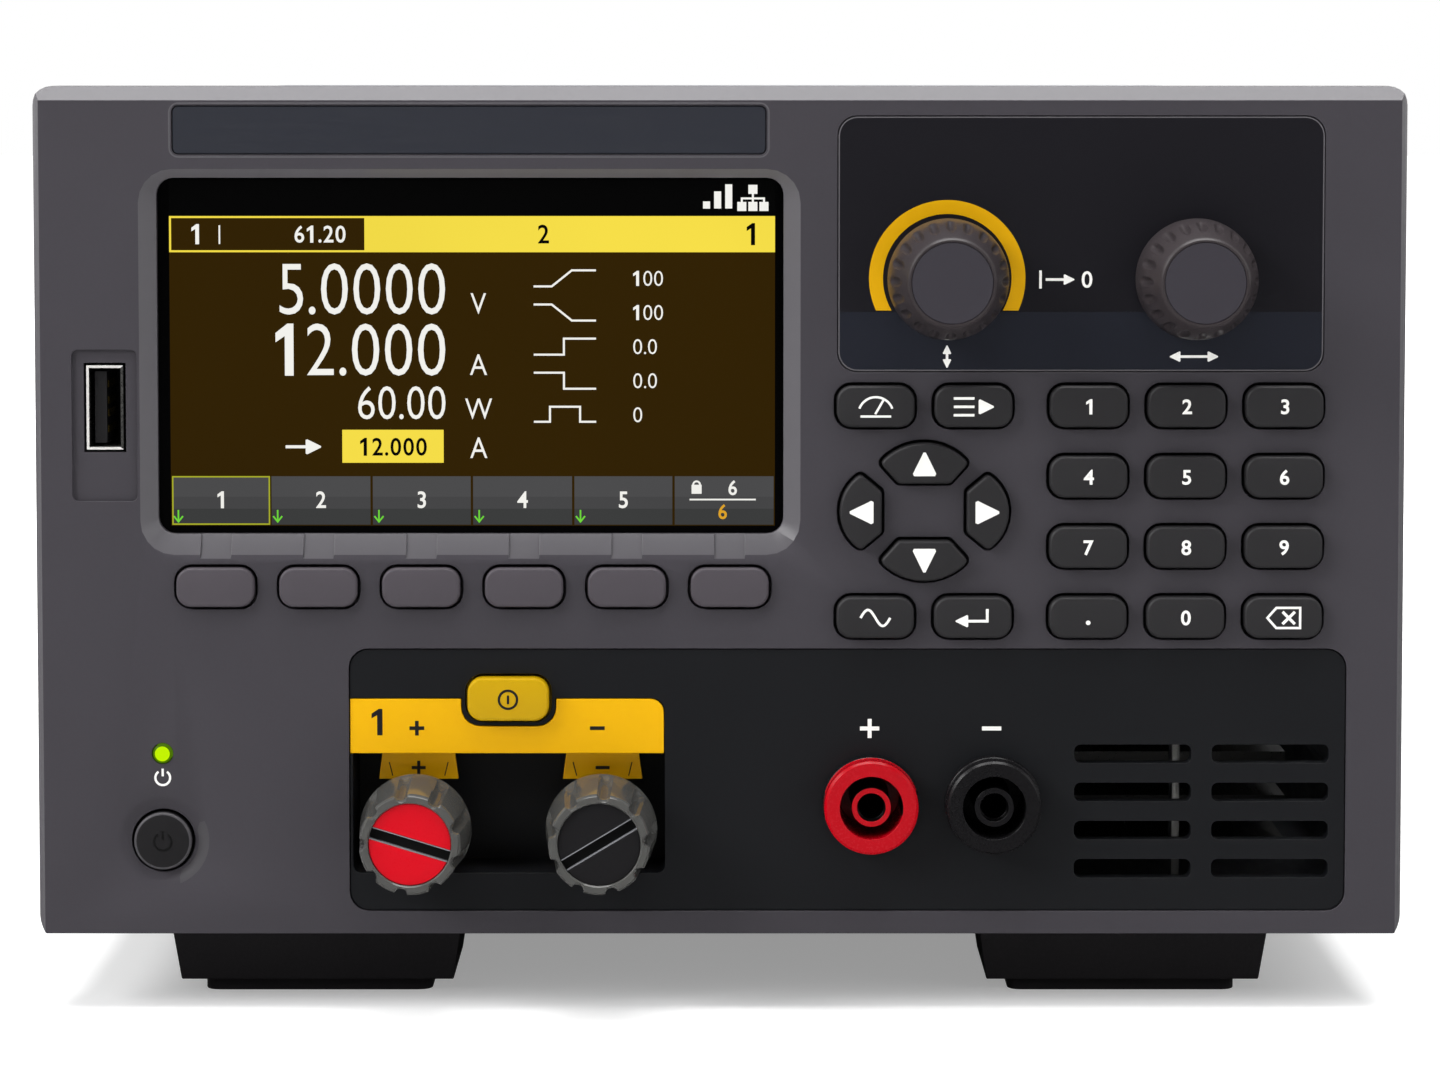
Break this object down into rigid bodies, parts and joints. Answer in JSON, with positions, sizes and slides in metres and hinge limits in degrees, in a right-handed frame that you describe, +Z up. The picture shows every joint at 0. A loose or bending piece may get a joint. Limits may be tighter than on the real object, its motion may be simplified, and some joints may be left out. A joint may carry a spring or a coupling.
{
  "type": "dc electronic load",
  "caption": "Half-rack bench instrument that sinks DC power: display, soft keys, keypad, two knobs, screw-down input posts, sense jacks, fan-cooled heatsink, on rubber feet.",
  "frame": {"origin": "on the bench, under the middle of the box round the whole object", "axes": "+X to the right across the front panel, +Y towards the rear, +Z up"},
  "size_m": [0.213, 0.366, 0.1446],
  "materials": {
    "softkey_plastic": "moulded keycaps, fine grain",
    "key_plastic": "moulded keycaps, fine grain",
    "yellow_key": "moulded keycap",
    "knob_plastic": "soft-touch moulding",
    "rotor_plastic": "moulded",
    "encoder_metal": "plated",
    "red_plastic": "moulded",
    "black_plastic": "moulded",
    "plated_brass": "turned and plated",
    "bezel_plastic": "moulded, fine grain",
    "lens": "clear sheet",
    "display": "lit panel",
    "panel_plastic": "moulded, fine grain",
    "overlay_film": "printed film",
    "yellow_plastic": "moulded",
    "usb_shell": "tinned",
    "light_pipe": "clear, lit",
    "zinc_sheet": "zinc-plated sheet",
    "painted_sheet": "powder coat",
    "foot_rubber": "moulded",
    "screw_steel": "plated",
    "fan_plastic": "moulded",
    "heatsink_aluminium": "extruded",
    "moulded_epoxy": "moulded",
    "board_laminate": "solder mask",
    "connector_plastic": "moulded",
    "copper_bar": "bare copper"
  },
  "bodies": {
    "root": {"encoder_bodies": "encoder_metal", "post_studs": "plated_brass", "sense_plus_jack": "red_plastic", "sense_minus_jack": "black_plastic", "front_bezel": "bezel_plastic", "display_window": "lens", "lcd_module": "display", "terminal_panel": "panel_plastic", "knob_overlay": "overlay_film", "input_band": "yellow_plastic", "usb_port": "usb_shell", "power_light": "light_pipe", "chassis": "zinc_sheet", "cover": "painted_sheet", "rear_panel": "painted_sheet", "feet": "foot_rubber", "screws": "screw_steel", "fan_frame": "fan_plastic", "heatsink": "heatsink_aluminium", "power_transistors": "moulded_epoxy", "circuit_boards": "board_laminate", "rear_connectors": "connector_plastic", "input_busbars": "copper_bar"},
    "softkey_1": {"softkey_1": "softkey_plastic"},
    "softkey_2": {"softkey_2": "softkey_plastic"},
    "softkey_3": {"softkey_3": "softkey_plastic"},
    "softkey_4": {"softkey_4": "softkey_plastic"},
    "softkey_5": {"softkey_5": "softkey_plastic"},
    "softkey_6": {"softkey_6": "softkey_plastic"},
    "key_1": {"key_1": "key_plastic"},
    "key_2": {"key_2": "key_plastic"},
    "key_3": {"key_3": "key_plastic"},
    "key_4": {"key_4": "key_plastic"},
    "key_5": {"key_5": "key_plastic"},
    "key_6": {"key_6": "key_plastic"},
    "key_7": {"key_7": "key_plastic"},
    "key_8": {"key_8": "key_plastic"},
    "key_9": {"key_9": "key_plastic"},
    "key_point": {"key_point": "key_plastic"},
    "key_0": {"key_0": "key_plastic"},
    "key_clear": {"key_clear": "key_plastic"},
    "meter_key": {"meter_key": "key_plastic"},
    "list_key": {"list_key": "key_plastic"},
    "scope_key": {"scope_key": "key_plastic"},
    "enter_key": {"enter_key": "key_plastic"},
    "arrow_up": {"arrow_up": "key_plastic"},
    "arrow_down": {"arrow_down": "key_plastic"},
    "arrow_left": {"arrow_left": "key_plastic"},
    "arrow_right": {"arrow_right": "key_plastic"},
    "load_key": {"load_key": "yellow_key"},
    "power_button": {"power_button": "key_plastic"},
    "vertical_rotor": {"vertical_rotor": "rotor_plastic"},
    "vertical_knob": {"vertical_knob": "knob_plastic"},
    "horizontal_rotor": {"horizontal_rotor": "rotor_plastic"},
    "horizontal_knob": {"horizontal_knob": "knob_plastic"},
    "positive_collar": {"positive_collar": "plated_brass"},
    "positive_cap": {"positive_cap": "red_plastic"},
    "negative_collar": {"negative_collar": "plated_brass"},
    "negative_cap": {"negative_cap": "black_plastic"},
    "fan_rotor": {"fan_rotor": "fan_plastic"}
  },
  "joints": [
    {"name": "softkey_1_press", "type": "slide", "parent": "root", "child": "softkey_1", "axis": [0, 1, 0], "range_m": [0, 0.001], "stiffness_N_per_m": 300, "springref_m": -0.0005},
    {"name": "softkey_2_press", "type": "slide", "parent": "root", "child": "softkey_2", "axis": [0, 1, 0], "range_m": [0, 0.001], "stiffness_N_per_m": 300, "springref_m": -0.0005},
    {"name": "softkey_3_press", "type": "slide", "parent": "root", "child": "softkey_3", "axis": [0, 1, 0], "range_m": [0, 0.001], "stiffness_N_per_m": 300, "springref_m": -0.0005},
    {"name": "softkey_4_press", "type": "slide", "parent": "root", "child": "softkey_4", "axis": [0, 1, 0], "range_m": [0, 0.001], "stiffness_N_per_m": 300, "springref_m": -0.0005},
    {"name": "softkey_5_press", "type": "slide", "parent": "root", "child": "softkey_5", "axis": [0, 1, 0], "range_m": [0, 0.001], "stiffness_N_per_m": 300, "springref_m": -0.0005},
    {"name": "softkey_6_press", "type": "slide", "parent": "root", "child": "softkey_6", "axis": [0, 1, 0], "range_m": [0, 0.001], "stiffness_N_per_m": 300, "springref_m": -0.0005},
    {"name": "key_1_press", "type": "slide", "parent": "root", "child": "key_1", "axis": [0, 1, 0], "range_m": [0, 0.001], "stiffness_N_per_m": 300, "springref_m": -0.0005},
    {"name": "key_2_press", "type": "slide", "parent": "root", "child": "key_2", "axis": [0, 1, 0], "range_m": [0, 0.001], "stiffness_N_per_m": 300, "springref_m": -0.0005},
    {"name": "key_3_press", "type": "slide", "parent": "root", "child": "key_3", "axis": [0, 1, 0], "range_m": [0, 0.001], "stiffness_N_per_m": 300, "springref_m": -0.0005},
    {"name": "key_4_press", "type": "slide", "parent": "root", "child": "key_4", "axis": [0, 1, 0], "range_m": [0, 0.001], "stiffness_N_per_m": 300, "springref_m": -0.0005},
    {"name": "key_5_press", "type": "slide", "parent": "root", "child": "key_5", "axis": [0, 1, 0], "range_m": [0, 0.001], "stiffness_N_per_m": 300, "springref_m": -0.0005},
    {"name": "key_6_press", "type": "slide", "parent": "root", "child": "key_6", "axis": [0, 1, 0], "range_m": [0, 0.001], "stiffness_N_per_m": 300, "springref_m": -0.0005},
    {"name": "key_7_press", "type": "slide", "parent": "root", "child": "key_7", "axis": [0, 1, 0], "range_m": [0, 0.001], "stiffness_N_per_m": 300, "springref_m": -0.0005},
    {"name": "key_8_press", "type": "slide", "parent": "root", "child": "key_8", "axis": [0, 1, 0], "range_m": [0, 0.001], "stiffness_N_per_m": 300, "springref_m": -0.0005},
    {"name": "key_9_press", "type": "slide", "parent": "root", "child": "key_9", "axis": [0, 1, 0], "range_m": [0, 0.001], "stiffness_N_per_m": 300, "springref_m": -0.0005},
    {"name": "key_point_press", "type": "slide", "parent": "root", "child": "key_point", "axis": [0, 1, 0], "range_m": [0, 0.001], "stiffness_N_per_m": 300, "springref_m": -0.0005},
    {"name": "key_0_press", "type": "slide", "parent": "root", "child": "key_0", "axis": [0, 1, 0], "range_m": [0, 0.001], "stiffness_N_per_m": 300, "springref_m": -0.0005},
    {"name": "key_clear_press", "type": "slide", "parent": "root", "child": "key_clear", "axis": [0, 1, 0], "range_m": [0, 0.001], "stiffness_N_per_m": 300, "springref_m": -0.0005},
    {"name": "meter_key_press", "type": "slide", "parent": "root", "child": "meter_key", "axis": [0, 1, 0], "range_m": [0, 0.001], "stiffness_N_per_m": 300, "springref_m": -0.0005},
    {"name": "list_key_press", "type": "slide", "parent": "root", "child": "list_key", "axis": [0, 1, 0], "range_m": [0, 0.001], "stiffness_N_per_m": 300, "springref_m": -0.0005},
    {"name": "scope_key_press", "type": "slide", "parent": "root", "child": "scope_key", "axis": [0, 1, 0], "range_m": [0, 0.001], "stiffness_N_per_m": 300, "springref_m": -0.0005},
    {"name": "enter_key_press", "type": "slide", "parent": "root", "child": "enter_key", "axis": [0, 1, 0], "range_m": [0, 0.001], "stiffness_N_per_m": 300, "springref_m": -0.0005},
    {"name": "arrow_up_press", "type": "slide", "parent": "root", "child": "arrow_up", "axis": [0, 1, 0], "range_m": [0, 0.001], "stiffness_N_per_m": 300, "springref_m": -0.0005},
    {"name": "arrow_down_press", "type": "slide", "parent": "root", "child": "arrow_down", "axis": [0, 1, 0], "range_m": [0, 0.001], "stiffness_N_per_m": 300, "springref_m": -0.0005},
    {"name": "arrow_left_press", "type": "slide", "parent": "root", "child": "arrow_left", "axis": [0, 1, 0], "range_m": [0, 0.001], "stiffness_N_per_m": 300, "springref_m": -0.0005},
    {"name": "arrow_right_press", "type": "slide", "parent": "root", "child": "arrow_right", "axis": [0, 1, 0], "range_m": [0, 0.001], "stiffness_N_per_m": 300, "springref_m": -0.0005},
    {"name": "load_key_press", "type": "slide", "parent": "root", "child": "load_key", "axis": [0, 1, 0], "range_m": [0, 0.001], "stiffness_N_per_m": 300, "springref_m": -0.0005},
    {"name": "power_button_press", "type": "slide", "parent": "root", "child": "power_button", "axis": [0, 1, 0], "range_m": [0, 0.001], "stiffness_N_per_m": 300, "springref_m": -0.0005},
    {"name": "vertical_turn", "type": "hinge", "parent": "root", "child": "vertical_rotor", "pos_m": [0.03515, -0.16745, 0.1149], "axis": [0, 1, 0], "continuous": true},
    {"name": "vertical_press", "type": "slide", "parent": "vertical_rotor", "child": "vertical_knob", "axis": [0, 1, 0], "range_m": [0, 0.0006], "stiffness_N_per_m": 500, "springref_m": -0.0005},
    {"name": "horizontal_turn", "type": "hinge", "parent": "root", "child": "horizontal_rotor", "pos_m": [0.0734, -0.16745, 0.1149], "axis": [0, 1, 0], "continuous": true},
    {"name": "horizontal_press", "type": "slide", "parent": "horizontal_rotor", "child": "horizontal_knob", "axis": [0, 1, 0], "range_m": [0, 0.0006], "stiffness_N_per_m": 500, "springref_m": -0.0005},
    {"name": "positive_travel", "type": "slide", "parent": "root", "child": "positive_collar", "axis": [0, -1, 0], "range_m": [0, 0.005]},
    {"name": "positive_screw", "type": "hinge", "parent": "positive_collar", "child": "positive_cap", "pos_m": [-0.04735, -0.16745, 0.0291], "axis": [0, -1, 0], "range_deg": [0, 1445]},
    {"name": "negative_travel", "type": "slide", "parent": "root", "child": "negative_collar", "axis": [0, -1, 0], "range_m": [0, 0.005]},
    {"name": "negative_screw", "type": "hinge", "parent": "negative_collar", "child": "negative_cap", "pos_m": [-0.01845, -0.16745, 0.0291], "axis": [0, -1, 0], "range_deg": [0, 1445]},
    {"name": "fan_turn", "type": "hinge", "parent": "root", "child": "fan_rotor", "pos_m": [0.051, 0.18055, 0.057], "axis": [0, 1, 0], "continuous": true}
  ],
  "couplings": [
    {"joint": "positive_screw", "follows": "positive_travel", "rad_per_m": 5026.5},
    {"joint": "negative_screw", "follows": "negative_travel", "rad_per_m": 5026.5}
  ]
}
